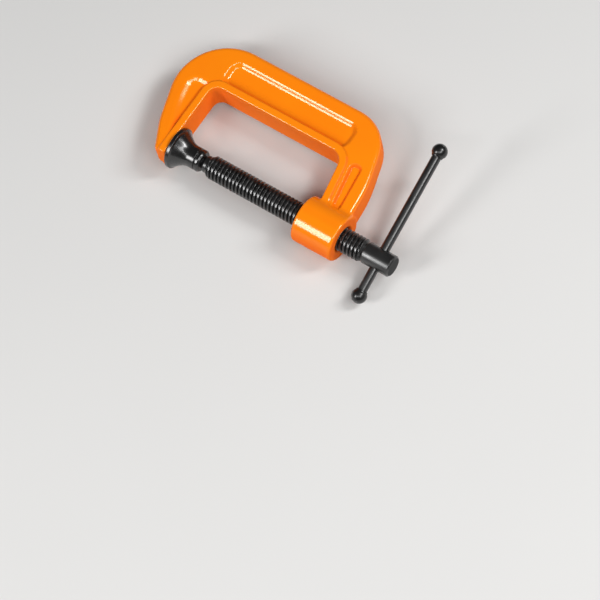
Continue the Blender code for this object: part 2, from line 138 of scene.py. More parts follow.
class CastingSettings(bpy.types.PropertyGroup):
    """Sizes of the cast frame."""
    jaw_gap: length("Jaw gap", 0.0635, "Anvil face to boss face")
    throat: length("Throat depth", 0.0292, "Screw axis to the spine's inner wall")
    anvil_corner: length("Anvil corner", 0.004, "Inside corner radius at the anvil end")
    arm_corner: length("Arm corner", 0.006, "Inside corner radius at the screw end")
    arm_inner_lean: angle("Arm inner lean", 9.9, "Lean of the arm's inner wall")
    tip_reach: length("Tip reach", 0.0068, "Jaw tip past the screw axis")
    tip_width: length("Tip width", 0.0052, "Width of the jaw at its tip")
    tip_radius: length("Tip radius", 0.0021, "Corner radius of the jaw's tip")
    jaw_lower_lean: angle("Jaw lower lean", 27.0, "Lean of the jaw's outer edge near the tip")
    jaw_upper_lean: angle("Jaw upper lean", 17.0, "Lean of the jaw's outer edge near the spine")
    jaw_bend: length("Jaw bend", 0.005, "Height of the bend in the jaw's outer edge")
    jaw_bend_radius: length("Jaw bend radius", 0.04, "Radius of that bend")
    crown: length("Crown radius", 0.0229, "Outside corner above the jaw")
    shoulder: length("Shoulder radius", 0.018, "Outside corner above the arm")
    arm_upper_lean: angle("Arm upper lean", 16.5, "Lean of the arm's outer edge near the spine")
    arm_lower_lean: angle("Arm lower lean", 4.0, "Lean of the arm's outer edge near the boss")
    arm_bend: length("Arm bend", 0.0212, "Height of the bend in the arm's outer edge")
    arm_bend_radius: length("Arm bend radius", 0.06, "Radius of that bend")
    arm_setback: length("Arm setback", 0.0003, "Arm's outer edge inside the boss's end face")
    plate: length("Plate thickness", 0.0123, "Thickness of the frame's plate")
    plate_edge: length("Plate edge", 0.002, "Radius of the plate's edges")
    band: length("Band width", 0.0034, "Flat band round the opening")
    band_rise: length("Band rise", 0.0006, "Band above the plate, on each side")
    band_edge: length("Band edge", 0.0006, "Radius of the band's edges")
    pocket: length("Pocket depth", 0.0015, "Depth of the jaw and arm pockets")
    spine_pocket: length("Spine pocket depth", 0.0019, "Depth of the spine pocket")
    pocket_radius: length("Pocket corners", 0.0035, "Corner radius of the pockets")
    pocket_heel: length("Pocket heel", 0.0045, "Corner radius of the spine pocket beside the band")
    spine_slope: length("Spine slope", 0.00275, "Width of the soft side of the spine pocket")
    jaw_slope: length("Jaw slope", 0.0032, "Width of the soft side of the jaw pocket, at its top")
    arm_slope: length("Arm slope", 0.0006, "Width of the soft side of the arm pocket")
    fade: share("Fade", 0.3, "How much wider the jaw pocket's soft side gets toward the tip")
    spine_rim: length("Spine rim", 0.0071, "Between the spine pocket and the back")
    spine_start: length("Spine pocket start", 0.0018, "In from the anvil face")
    spine_stop: length("Spine pocket stop", 0.0015, "In from the boss face")
    jaw_pocket: length("Jaw pocket width", 0.0073, "From the band, at the top")
    jaw_waist: length("Jaw pocket waist", 0.0046, "From the band, where the pocket starts to taper")
    jaw_bow: length("Jaw pocket bow", 0.03, "Radius of the pocket's outer side at the waist")
    jaw_point: length("Jaw pocket point", 0.0014, "Lower end of the pocket above the screw axis")
    jaw_drop: length("Jaw pocket drop", 0.0008, "Top of the pocket below the spine's inner wall")
    arm_strip: length("Arm strip", 0.0018, "Between the band and the arm pocket")
    arm_rim: length("Arm rim", 0.0051, "Between the arm pocket's top and the outer edge")
    arm_pocket_lean: angle("Arm pocket lean", 6.3, "Lean of the arm pocket's outer side")
    arm_drop: length("Arm pocket drop", 0.001, "Top of the pocket below the spine's inner wall")
    boss_edge: length("Boss edge", 0.0009, "Radius of the boss's rims")
    boss_fillet: length("Boss fillet", 0.0014, "How far the arm flows into the boss")
    bore_gap: length("Bore gap", 0.0003, "Bore outside the thread")
    bore_chamfer: length("Bore chamfer", 0.0006, "Chamfer at the bore's mouths")
    cell: length("Cell", 0.00036, "Mesh size of the casting")


class ScrewSettings(bpy.types.PropertyGroup):
    """Sizes of the screw."""
    pitch: length("Pitch", 0.00175, "Length of one turn of the thread")
    depth: length("Thread depth", 0.001, "Crest to root")
    thread_start: length("Thread start", 0.016, "Anvil face to the thread")
    head_start: length("Head start", 0.0933, "Anvil face to the head")
    run_in: share("Run-in", 0.72, "Rise of the thread's run-in for each unit of length")
    root: share("Root share", 0.15, "Part of one turn that is flat at the root")
    flank: share("Flank share", 0.25, "Part of one turn that each flank takes")
    neck: length("Neck radius", 0.0037, "Between the pad and the thread")
    neck_round: length("Neck rounding", 0.0008, "Between the neck and its shoulder")
    stem: length("Stem radius", 0.0024, "Inside the pad's collar")
    tip: length("Ball tip radius", 0.003, "Ball in the pad's socket")
    head: length("Head radius", 0.0046, "Plain head")
    head_edge: length("Head edge", 0.0006, "Chamfer of the head")
    head_round: length("Head rounding", 0.0002, "Radius of the chamfers' edges")
    side_round: length("Side rounding", 0.0003, "Radius between the head's side and its last chamfer")
    hole_gap: length("Hole gap", 0.0003, "Cross hole outside the bar")
    facets: IntProperty(name="Facets", description="Steps in one turn of the thread", default=48, min=8)
    samples: IntProperty(name="Samples", description="Steps across one turn's profile",
                         default=20, min=10)


class PadSettings(bpy.types.PropertyGroup):
    """Sizes of the swivel pad."""
    rim: length("Rim", 0.0016, "Width of the rim's band")
    waist: length("Waist radius", 0.0048, "Outside the ball socket")
    collar: length("Collar radius", 0.0042, "Groove and end of the collar")
    flare_end: length("Flare end", 0.0082, "Where the flare reaches the waist")
    bead: length("Bead", 0.0014, "Width of the bead at the collar's end")
    edge: length("Edge", 0.0004, "Radius of the rim and bead")
    rim_back: length("Rim back", 0.00024, "Radius of the rim's edge toward the flare")
    socket_centre: length("Socket centre", 0.0068, "From the face")
    socket_gap: length("Socket gap", 0.0003, "Socket outside the ball")


class HandleSettings(bpy.types.PropertyGroup):
    """Sizes of the handle."""
    bar: length("Bar radius", 0.002, "Sliding bar")
    fit: length("Fit", 0.0001, "Ball's bore outside the bar")
    sleeve: length("Sleeve", 0.0003, "Wall of the ball's short sleeve on the bar")
    throat: length("Sleeve fillet", 0.0011, "Fillet between ball and sleeve")
    swell: share("Swell", 0.45, "Rise of that fillet for each unit of its length")


class FinishSettings(bpy.types.PropertyGroup):
    """Colours of the finishes."""
    paint: colour("Paint", (0.97, 0.245, 0.002, 1.0), "Powder coat")
    # Painted shade: walls and creases are darkened toward this colour, and the random tone drift uses it
    # too
    paint_shade_and_drift: colour("Paint in hollows", (0.92, 0.110, 0.001, 1.0), "Painted shade on walls and in creases")
    paint_thin: colour("Paint on edges", (1.0, 0.31, 0.010, 1.0), "Thinner coat on edges")
    oxide: colour("Black oxide", (0.004, 0.004, 0.0043, 1.0), "Blackened steel")
    oxide_dry: colour("Dry oxide", (0.010, 0.0097, 0.0097, 1.0), "Drier patches of the black")
    bare: colour("Rubbed steel", (0.16, 0.155, 0.15, 1.0), "Rubbed edges and crests")


class StageSettings(bpy.types.PropertyGroup):
    """Camera, floor and lights."""
    azimuth: angle("Azimuth", -40.0, "Camera round the clamp, from the screw's axis")
    elevation: angle("Elevation", 64.0, "Camera above the floor")
    roll: angle("Roll", -17.5, "Turn of the picture")
    distance: length("Distance", 1.3, "Camera from the clamp")
    field: length("Field", 0.2416, "Width of the picture at the clamp")
    aim_across: length("Aim across", 0.0055, "Picture's middle, right of the clamp's middle")
    aim_down: length("Aim down", 0.0556, "Picture's middle, below the clamp's middle")
    floor: colour("Floor", (0.66, 0.655, 0.645, 1.0), "Floor and backdrop")
    mottle: share("Mottle", 0.97, "Tone of the floor's darker patches beside the lighter")
    floor_reach: length("Floor reach", 3.0, "Half the floor's width")
    floor_gap: length("Floor gap", 0.0002, "Floor below the clamp")
    world: share("World light", 0.07, "Strength of the light from all round")


def smooth_step(value):
    """0 below 0, 1 above 1, and a smooth rise between."""
    clipped = np.clip(value, 0.0, 1.0)
    return clipped * clipped * (3.0 - 2.0 * clipped)


def smooth_union(first, second, width):
    """The lower of two fields, with a fillet where they are within a width of each other."""
    near = np.maximum(width - np.abs(first - second), 0.0) / width
    return np.minimum(first, second) - near * near * width / 4.0


def rounded(corners, closed=True):
    """Points (x, y, bend) along corners (x, y, radius) with each corner rounded.

    bend is 1 in a corner that turns right, -1 in one that turns left and 0 on a straight.
    """
    count = len(corners)
    spots = [Vector(corner[:2]) for corner in corners]
    ways = [(spots[(i + 1) % count] - spots[i]) for i in range(count)]
    turns = []
    for i in range(count):
        before, after = ways[i - 1].normalized(), ways[i].normalized()
        turns.append(math.atan2(before.x * after.y - before.y * after.x, before.dot(after)))
    reaches = [corner[2] * math.tan(abs(turn) / 2) for corner, turn in zip(corners, turns)]
    if not closed:
        reaches[0] = 0.0
        reaches[-1] = 0.0
    points = []
    for i in range(count):
        reach = reaches[i]
        if reach < TINY:
            points.append((spots[i].x, spots[i].y, 0.0))
            continue
        limit = min(1.0, ways[i - 1].length / (reach + reaches[i - 1]),
                    ways[i].length / (reach + reaches[(i + 1) % count]))
        before = ways[i - 1].normalized()
        start = spots[i] - before * reach * limit
        side = math.copysign(corners[i][2] * limit, turns[i])
        centre = start + Vector((-before.y, before.x)) * side
        steps = max(LEAST_STEPS, round(abs(turns[i]) / ARC_STEP))
        for step in range(steps + 1):
            arm = start - centre
            arm.rotate(Matrix.Rotation(turns[i] * step / steps, 2))
            bend = -math.copysign(math.sin(math.pi * step / steps), turns[i])
            points.append((centre.x + arm.x, centre.y + arm.y, bend))
    return points


def outline_distance(outline, x, y):
    """Distance of points from a closed outline, negative inside it."""
    nearest = np.full(x.shape, np.inf)
    inside = np.zeros(x.shape, dtype=bool)
    for (ax, ay, _), (bx, by, _) in zip(outline, outline[1:] + outline[:1]):
        run_x, run_y = bx - ax, by - ay
        square = run_x * run_x + run_y * run_y
        if square < TINY * TINY:
            continue
        along = np.clip(((x - ax) * run_x + (y - ay) * run_y) / square, 0.0, 1.0)
        nearest = np.minimum(nearest, (x - ax - along * run_x) ** 2 + (y - ay - along * run_y) ** 2)
        if abs(run_y) > TINY * TINY:
            inside ^= ((ay > y) != (by > y)) & (x < ax + run_x * (y - ay) / run_y)
    return np.where(inside, -1.0, 1.0) * np.sqrt(nearest)


def rounded_slab(across, along, radius):
    """Field of a slab from its two side distances, with its edges rounded."""
    across = across + radius
    along = along + radius
    inner = np.minimum(np.maximum(across, along), 0.0)
    return inner + np.hypot(np.maximum(across, 0.0), np.maximum(along, 0.0)) - radius


def surface_net(field, low, cell):
    """Points and quads on the zero level of a sampled field that is negative inside."""
    cells = tuple(size - 1 for size in field.shape)
    total = np.zeros(cells + (3,))
    count = np.zeros(cells)
    crossings = []
    for axis in range(3):
        others = [other for other in range(3) if other != axis]
        moved = np.moveaxis(field, axis, 0)
        first, second = moved[:-1], moved[1:]
        crosses = (first < 0.0) != (second < 0.0)
        crossings.append((axis, crosses, first < 0.0))
        gap = np.where(crosses, first - second, 1.0)
        place = np.where(crosses, first / gap, 0.0) + np.arange(first.shape[0])[:, None, None] * crosses
        sums = np.moveaxis(total, axis, 0)
        counts = np.moveaxis(count, axis, 0)
        for near_row in (0, 1):
            for near_column in (0, 1):
                rows = slice(near_row, near_row + sums.shape[1])
                columns = slice(near_column, near_column + sums.shape[2])
                hit = crosses[:, rows, columns]
                counts += hit
                sums[..., axis] += place[:, rows, columns]
                sums[..., others[0]] += hit * (np.arange(sums.shape[1])[None, :, None] + near_row)
                sums[..., others[1]] += hit * (np.arange(sums.shape[2])[None, None, :] + near_column)
    used = count > 0
    numbers = np.full(cells, -1, dtype=np.int64)
    numbers[used] = np.arange(int(used.sum()))
    points = total[used] / count[used][:, None] * cell + np.asarray(low)
    quads = []
    for axis, crosses, starts_inside in crossings:
        moved = np.moveaxis(numbers, axis, 0)
        i, j, k = np.nonzero(crosses[:, 1:-1, 1:-1])
        ring = np.stack([moved[i, j, k], moved[i, j + 1, k],
                         moved[i, j + 1, k + 1], moved[i, j, k + 1]], axis=1)
        outward = starts_inside[i, j + 1, k + 1] == (axis != 1)
        quads.append(np.where(outward[:, None], ring, ring[:, ::-1]))
    return points, np.concatenate(quads)


def sample(field, points, low, cell):
    """Values of a sampled field between its grid points."""
    place = (points - np.asarray(low)) / cell
    base = np.clip(np.floor(place).astype(int), 0, np.array(field.shape) - 2)
    part = np.clip(place - base, 0.0, 1.0)
    value = np.zeros(len(points))
    for corner in range(8):
        step = np.array([corner & 1, corner >> 1 & 1, corner >> 2 & 1])
        weight = np.prod(np.where(step, part, 1.0 - part), axis=1)
        spot = base + step
        value += weight * field[spot[:, 0], spot[:, 1], spot[:, 2]]
    return value


def add_attribute(mesh, name, values):
    """Store one number per vertex for the materials."""
    layer = mesh.attributes.new(name, "FLOAT", "POINT")
    layer.data.foreach_set("value", np.asarray(values, dtype=np.float32))


def add_object(name, data):
    """A new object in the scene."""
    item = bpy.data.objects.new(name, data)
    bpy.context.scene.collection.objects.link(item)
    return item


def settle(item, body, material, nodes=()):
    """Carry a finished mesh to its place, give it its finish and let it ride on its body."""
    item.data.transform(Matrix.Translation(ANVIL))
    item.data.materials.clear()
    item.data.materials.append(material)
    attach(item, body)
    if nodes:
        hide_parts(*nodes)


def lathe(name, profile, steps=TURN_STEPS, closed=False):
    """A mesh turned round X from points (place, radius, bend); bend is kept as the edge attribute."""
    shape = bmesh.new()
    edge = shape.verts.layers.float.new("edge")
    points = []
    for place, radius, bend in profile:
        vert = shape.verts.new((place, radius, 0.0))
        vert[edge] = max(bend, 0.0)
        points.append(vert)
    edges = [shape.edges.new(pair) for pair in zip(points, points[1:])]
    if closed:
        edges.append(shape.edges.new((points[-1], points[0])))
    bmesh.ops.spin(shape, geom=points + edges, cent=(0.0, 0.0, 0.0), axis=(1.0, 0.0, 0.0),
                   angle=2.0 * math.pi, steps=steps, use_merge=True)
    bmesh.ops.remove_doubles(shape, verts=shape.verts, dist=TINY)
    bmesh.ops.recalc_face_normals(shape, faces=shape.faces)
    mesh = bpy.data.meshes.new(name)
    shape.to_mesh(mesh)
    shape.free()
    mesh.shade_smooth()
    mesh.set_sharp_from_angle(angle=SHARP_ANGLE)
    return mesh


def arc(centre, radius, first, last, steps=20):
    """Profile points of an arc about a point of the axis, between two angles."""
    points = []
    for step in range(steps + 1):
        turn = first + (last - first) * step / steps
        points.append((centre + radius * math.cos(turn), abs(radius * math.sin(turn)), 0.0))
    return points


class Nodes:
    """A node tree with short ways to add and join its nodes."""

    def __init__(self, tree):
        self.tree = tree

    def add(self, kind, **values):
        """Add a node and fill it."""
        node = self.tree.nodes.new(kind)
        self.fill(node, **values)
        return node

    def fill(self, node, **values):
        """Set a node's properties by name, and its inputs by name with spaces as underscores."""
        for name, value in values.items():
            if hasattr(node, name):
                setattr(node, name, value)
            else:
                self.feed(node.inputs[name.replace("_", " ")], value)

    def feed(self, socket, value):
        """Set an input, or join it to another node's output."""
        if isinstance(value, bpy.types.NodeSocket):
            self.tree.links.new(value, socket)
        else:
            socket.default_value = value

    def math(self, operation, *values, clamp=False):
        """A Math node's output."""
        node = self.tree.nodes.new("ShaderNodeMath")
        node.operation = operation
        node.use_clamp = clamp
        for socket, value in zip(node.inputs, values):
            self.feed(socket, value)
        return node.outputs[0]

    def mix(self, factor, first, second):
        """A colour between two colours."""
        node = self.tree.nodes.new("ShaderNodeMix")
        node.data_type = "RGBA"
        for number, value in ((0, factor), (6, first), (7, second)):
            self.feed(node.inputs[number], value)
        return node.outputs[2]


def shader_group(name, inputs, outputs):
    """A shader node group with its named sockets; inputs are (name, default)."""
    tree = bpy.data.node_groups.new(name, "ShaderNodeTree")
    for label, default in inputs:
        socket = tree.interface.new_socket(label, in_out="INPUT", socket_type="NodeSocketFloat")
        socket.default_value = default
    for label in outputs:
        tree.interface.new_socket(label, in_out="OUTPUT", socket_type="NodeSocketFloat")
    nodes = Nodes(tree)
    return tree, nodes, nodes.add("NodeGroupInput"), nodes.add("NodeGroupOutput")


def skin_group():
    """Fine ripples of a coat or a blackened surface, and slow drifts of its tone."""
    tree, nodes, given, out = shader_group("surface_skin", [("Ripple", 900.0), ("Drift", 60.0)],
                                           ["Height", "Tone"])
    place = nodes.add("ShaderNodeTexCoord").outputs["Object"]
    ripple = nodes.add("ShaderNodeTexNoise", Vector=place, Scale=given.outputs["Ripple"], Detail=2.0)
    drift = nodes.add("ShaderNodeTexNoise", Vector=place, Scale=given.outputs["Drift"], Detail=4.0)
    contrast, dark_end = 2.4, -0.7
    spread = nodes.math("MULTIPLY_ADD", drift.outputs[0], contrast, dark_end, clamp=True)
    nodes.fill(out, Height=ripple.outputs[0], Tone=spread)
    return tree


def rub_group():
    """Uneven rubbing along edges, from the edge attribute of a piece."""
    tree, nodes, given, out = shader_group("rubbed_edges", [("Amount", 0.5), ("Grain", 700.0)], ["Mask"])
    place = nodes.add("ShaderNodeTexCoord").outputs["Object"]
    edge = nodes.add("ShaderNodeAttribute", attribute_name="edge").outputs["Fac"]
    grain = nodes.add("ShaderNodeTexNoise", Vector=place, Scale=given.outputs["Grain"], Detail=3.0)
    contrast, dark_end = 1.8, -0.4
    broken = nodes.math("MULTIPLY_ADD", grain.outputs[0], contrast, dark_end, clamp=True)
    worn = nodes.math("MULTIPLY", edge, broken, clamp=True)
    nodes.fill(out, Mask=nodes.math("MULTIPLY", worn, given.outputs["Amount"], clamp=True))
    return tree


def finish_groups():
    """The shared groups, built once."""
    skin = bpy.data.node_groups.get("surface_skin") or skin_group()
    rub = bpy.data.node_groups.get("rubbed_edges") or rub_group()
    return skin, rub


def new_material(name):
    """An empty node material with its Principled shader."""
    material = bpy.data.materials.new(name)
    material.use_nodes = True
    return material, Nodes(material.node_tree), material.node_tree.nodes["Principled BSDF"]


def paint_material(finish):
    """Gloss powder coat: orange-peel ripple, painted shade on walls and in creases, thinner on edges."""
    material, nodes, shader = new_material("orange_powder_coat")
    skin, rub = finish_groups()
    surface = nodes.add("ShaderNodeGroup", node_tree=skin, Ripple=1400.0, Drift=45.0).outputs
    worn = nodes.add("ShaderNodeGroup", node_tree=rub, Amount=0.55, Grain=420.0).outputs
    hollow = nodes.add("ShaderNodeAttribute", attribute_name="hollow").outputs["Fac"]
    wall = nodes.add("ShaderNodeAttribute", attribute_name="wall").outputs["Fac"]
    # Painted shade: walls and creases are pulled toward the shade colour, with a random tone drift added
    wall_shade, hollow_shade, drift_depth = 0.45, 0.85, 0.16
    shaded = nodes.math("MULTIPLY_ADD", wall, wall_shade, nodes.math("MULTIPLY", hollow, hollow_shade))
    deep = nodes.math("MULTIPLY_ADD", surface["Tone"], drift_depth, shaded, clamp=True)
    tone = nodes.mix(deep, tuple(finish.paint), tuple(finish.paint_shade_and_drift))
    tone = nodes.mix(worn["Mask"], tone, tuple(finish.paint_thin))
    roughness, drift_roughness, wall_roughness = 0.12, 0.06, 0.60
    smooth = nodes.math("MULTIPLY_ADD", surface["Tone"], drift_roughness, roughness)
    rough = nodes.math("MULTIPLY_ADD", wall, wall_roughness, smooth)
    bump = nodes.add("ShaderNodeBump", Strength=0.17, Distance=0.0002, Height=surface["Height"])
    gloss_coat = 0.6
    coat = nodes.math("MULTIPLY_ADD", wall, -gloss_coat, gloss_coat)
    nodes.fill(shader, Base_Color=tone, Roughness=rough, Normal=bump.outputs[0], Coat_Weight=coat,
               Coat_Roughness=0.10, Specular_IOR_Level=0.5, Specular_Tint=(1.0, 0.74, 0.46, 1.0))
    return material


def steel_material(name, finish, ripple, uneven, rubbed, roughness, gloss, film=0.6, haze=0.14):
    """Black-oxide steel: black with drier patches, edges rubbed to grey and a thin film of oil.

    Where a piece has the matt attribute it is dry and rough.
    """
    material, nodes, shader = new_material(name)
    skin, rub = finish_groups()
    surface = nodes.add("ShaderNodeGroup", node_tree=skin, Ripple=ripple, Drift=160.0).outputs
    worn = nodes.add("ShaderNodeGroup", node_tree=rub, Amount=rubbed, Grain=900.0).outputs
    matt = nodes.add("ShaderNodeAttribute", attribute_name="matt").outputs["Fac"]
    tone = nodes.mix(surface["Tone"], tuple(finish.oxide), tuple(finish.oxide_dry))
    tone = nodes.mix(worn["Mask"], tone, tuple(finish.bare))
    dry_roughness, matt_roughness = 0.14, 0.5
    smooth = nodes.math("MULTIPLY_ADD", surface["Tone"], dry_roughness, roughness)
    rough = nodes.math("MULTIPLY_ADD", matt, matt_roughness, smooth, clamp=True)
    black_metal, rubbed_metal = 0.2, 0.6
    metal = nodes.math("MULTIPLY_ADD", worn["Mask"], rubbed_metal, black_metal, clamp=True)
    bump = nodes.add("ShaderNodeBump", Strength=uneven, Distance=0.0001, Height=surface["Height"])
    dry_loss = 0.3
    oil = nodes.math("MULTIPLY_ADD", surface["Tone"], -dry_loss, film, clamp=True)
    coat = nodes.math("SUBTRACT", oil, matt, clamp=True)
    nodes.fill(shader, Base_Color=tone, Roughness=rough, Metallic=metal, Normal=bump.outputs[0],
               Coat_Weight=coat, Coat_Roughness=haze, Specular_IOR_Level=gloss)
    return material


def casting_outlines(size):
    """Closed outlines of the plate, the band and the three pockets."""
    gap, throat, tip = size.jaw_gap, size.throat, size.tip_reach

    def arm_inner(height):
        return gap + (throat - height) * math.tan(size.arm_inner_lean)

    def arm_outer(height):
        foot = BOSS_END - size.arm_setback
        bend = foot - size.arm_bend * math.tan(size.arm_lower_lean)
        lean = size.arm_lower_lean if height <= size.arm_bend else size.arm_upper_lean
        return bend - (height - size.arm_bend) * math.tan(lean)

    def jaw_outer(height):
        bend = -size.tip_width - (size.jaw_bend + tip) * math.tan(size.jaw_lower_lean)
        lean = size.jaw_upper_lean if height > size.jaw_bend else size.jaw_lower_lean
        return bend - (height - size.jaw_bend) * math.tan(lean)

    inner = [(0.0, throat, size.anvil_corner), (arm_inner(throat), throat, size.arm_corner),
             (arm_inner(0.0), 0.0, 0.0)]
    plate = [(0.0, -tip, size.tip_radius)] + inner + [
        (arm_outer(0.0), 0.0, 0.0), (arm_outer(size.arm_bend), size.arm_bend, size.arm_bend_radius),
        (arm_outer(BACK), BACK, size.shoulder), (jaw_outer(BACK), BACK, size.crown),
        (jaw_outer(size.jaw_bend), size.jaw_bend, size.jaw_bend_radius),
        (jaw_outer(-tip), -tip, size.tip_radius)]
    outer = throat + size.band
    slant = size.band / math.cos(size.arm_inner_lean)
    band = [(0.0, -tip, size.tip_radius / 2)] + inner + [
        (arm_inner(0.0) + slant, 0.0, 0.0),
        (arm_inner(outer) + slant, outer, size.arm_corner + size.band),
        (-size.band, outer, size.anvil_corner + size.band), (-size.band, -tip, size.tip_radius / 2)]
    under = size.band - size.spine_slope / 2
    high = BACK - size.spine_rim
    left, right = size.spine_start, gap - size.spine_stop
    spine = [(left, throat + under, size.pocket_heel), (right, throat + under, size.pocket_heel),
             (right, high, size.pocket_radius), (left, high, size.pocket_radius)]
    top = throat - size.jaw_drop
    waist = (top + size.jaw_point) / 2
    jaw = [(-under, size.jaw_point, 0.0), (-under, top, 0.0),
           (-size.band - size.jaw_pocket, top, size.pocket_radius),
           (-size.band - size.jaw_waist, waist, size.jaw_bow)]
    top = throat - size.arm_drop
    inset = (size.band + size.arm_strip) / math.cos(size.arm_inner_lean)
    right = arm_outer(top) - size.arm_rim
    arm = [(arm_inner(top) + inset, top, size.pocket_radius / 2), (arm_inner(0.0) + inset, 0.0, 0.0),
           (right + top * math.tan(size.arm_pocket_lean), 0.0, 0.0), (right, top, size.pocket_radius / 2)]
    return rounded(plate), rounded(band), [rounded(spine), rounded(jaw), rounded(arm)]


def casting_field(size, x, y, z):
    """Field of the casting on a grid: plate with pockets, raised band, boss and bore."""
    plate_line, band_line, pocket_lines = casting_outlines(size)
    flat_x, flat_y = np.meshgrid(x, y, indexing="ij")
    half = size.plate / 2
    drop = np.zeros(flat_x.shape)
    tapered = size.jaw_slope * (1.0 + size.fade * np.clip(1.0 - flat_y / size.throat, 0.0, 1.0))
    slopes = (size.spine_slope, tapered, size.arm_slope)
    depths = (size.spine_pocket, size.pocket, size.pocket)
    for line, slope, depth in zip(pocket_lines, slopes, depths):
        inward = -outline_distance(line, flat_x, flat_y)
        drop = np.maximum(drop, depth * smooth_step(inward / slope + 0.5))
    level = half - drop
    height = np.abs(z)[None, None, :]
    plate = rounded_slab(outline_distance(plate_line, flat_x, flat_y)[:, :, None],
                         height - level[:, :, None], size.plate_edge)
    band = rounded_slab(outline_distance(band_line, flat_x, flat_y)[:, :, None],
                        height - half - size.band_rise, size.band_edge)
    body = smooth_union(plate, band, size.band_edge / 2)
    middle, reach = (size.jaw_gap + BOSS_END) / 2, (BOSS_END - size.jaw_gap) / 2
    ring = np.hypot(y[:, None], z[None, :])[None, :, :]
    ends = np.abs(x - middle)[:, None, None] - reach
    body = smooth_union(body, rounded_slab(ring - BOSS_RADIUS, ends, size.boss_edge), size.boss_fillet)
    bore = THREAD_RADIUS + size.bore_gap + np.clip(size.bore_chamfer + ends, 0.0, size.bore_chamfer)
    return np.maximum(body, -np.maximum(ring - bore, ends - size.boss_edge))


def dull_walls(size, points, upright):
    """How dull the coat is at each point, on walls and on the little steps of the arm; the paint is also
    darkened there as painted shade.
    """
    wall_top, wall_full, step_tilt = 0.75, 0.25, 0.06
    walls = smooth_step((wall_top - upright) / (wall_top - wall_full))
    x, y = points[:, 0], points[:, 1]
    in_arm = (x > size.jaw_gap) & (y > BOSS_RADIUS) & (y < size.throat)
    in_arm &= outline_distance(casting_outlines(size)[0], x, y) < -size.plate_edge
    return np.maximum(walls, in_arm * smooth_step((1.0 - upright) / step_tilt))


class CLAMP_OT_casting(bpy.types.Operator):
    """Make the painted casting: jaw, spine and arm with pockets, raised band and boss"""
    bl_idname = "clamp.casting"
    bl_label = "Cast frame"

    def execute(self, context):
        size = context.scene.clamp_casting
        cell = size.cell
        margin_cells = 4
        margin = margin_cells * cell
        low = np.array(FRAME_LOW) - np.array(ANVIL) - margin
        high = np.array(FRAME_HIGH) - np.array(ANVIL) + margin
        axes = [np.arange(start, stop + cell, cell) for start, stop in zip(low, high)]
        field = casting_field(size, *axes)
        points, quads = surface_net(field, low, cell)
        slopes = [sample(slope, points, low, cell) for slope in np.gradient(field, cell)]
        normals = np.stack(slopes, axis=1)
        normals /= np.linalg.norm(normals, axis=1)[:, None]
        mesh = bpy.data.meshes.new("casting")
        mesh.from_pydata(points.tolist(), [], quads.tolist())
        feel_share = 0.9
        feel = size.plate_edge * feel_share
        # hollow measures creases for the painted shade in the paint; edge measures convex edges for
        # rubbing
        outside = sample(field, points + normals * feel, low, cell)
        inside = sample(field, points - normals * feel, low, cell)
        add_attribute(mesh, "hollow", np.clip(1.0 - outside / feel, 0.0, 1.0))
        add_attribute(mesh, "edge", np.clip(1.0 + inside / feel, 0.0, 1.0))
        add_attribute(mesh, "wall", dull_walls(size, points, np.abs(normals[:, 2])))
        mesh.shade_smooth()
        mesh.normals_split_custom_set_from_vertices(normals.tolist())
        item = add_object("casting", mesh)
        settle(item, "frame", paint_material(context.scene.clamp_finish), ["frame"])
        return {"FINISHED"}


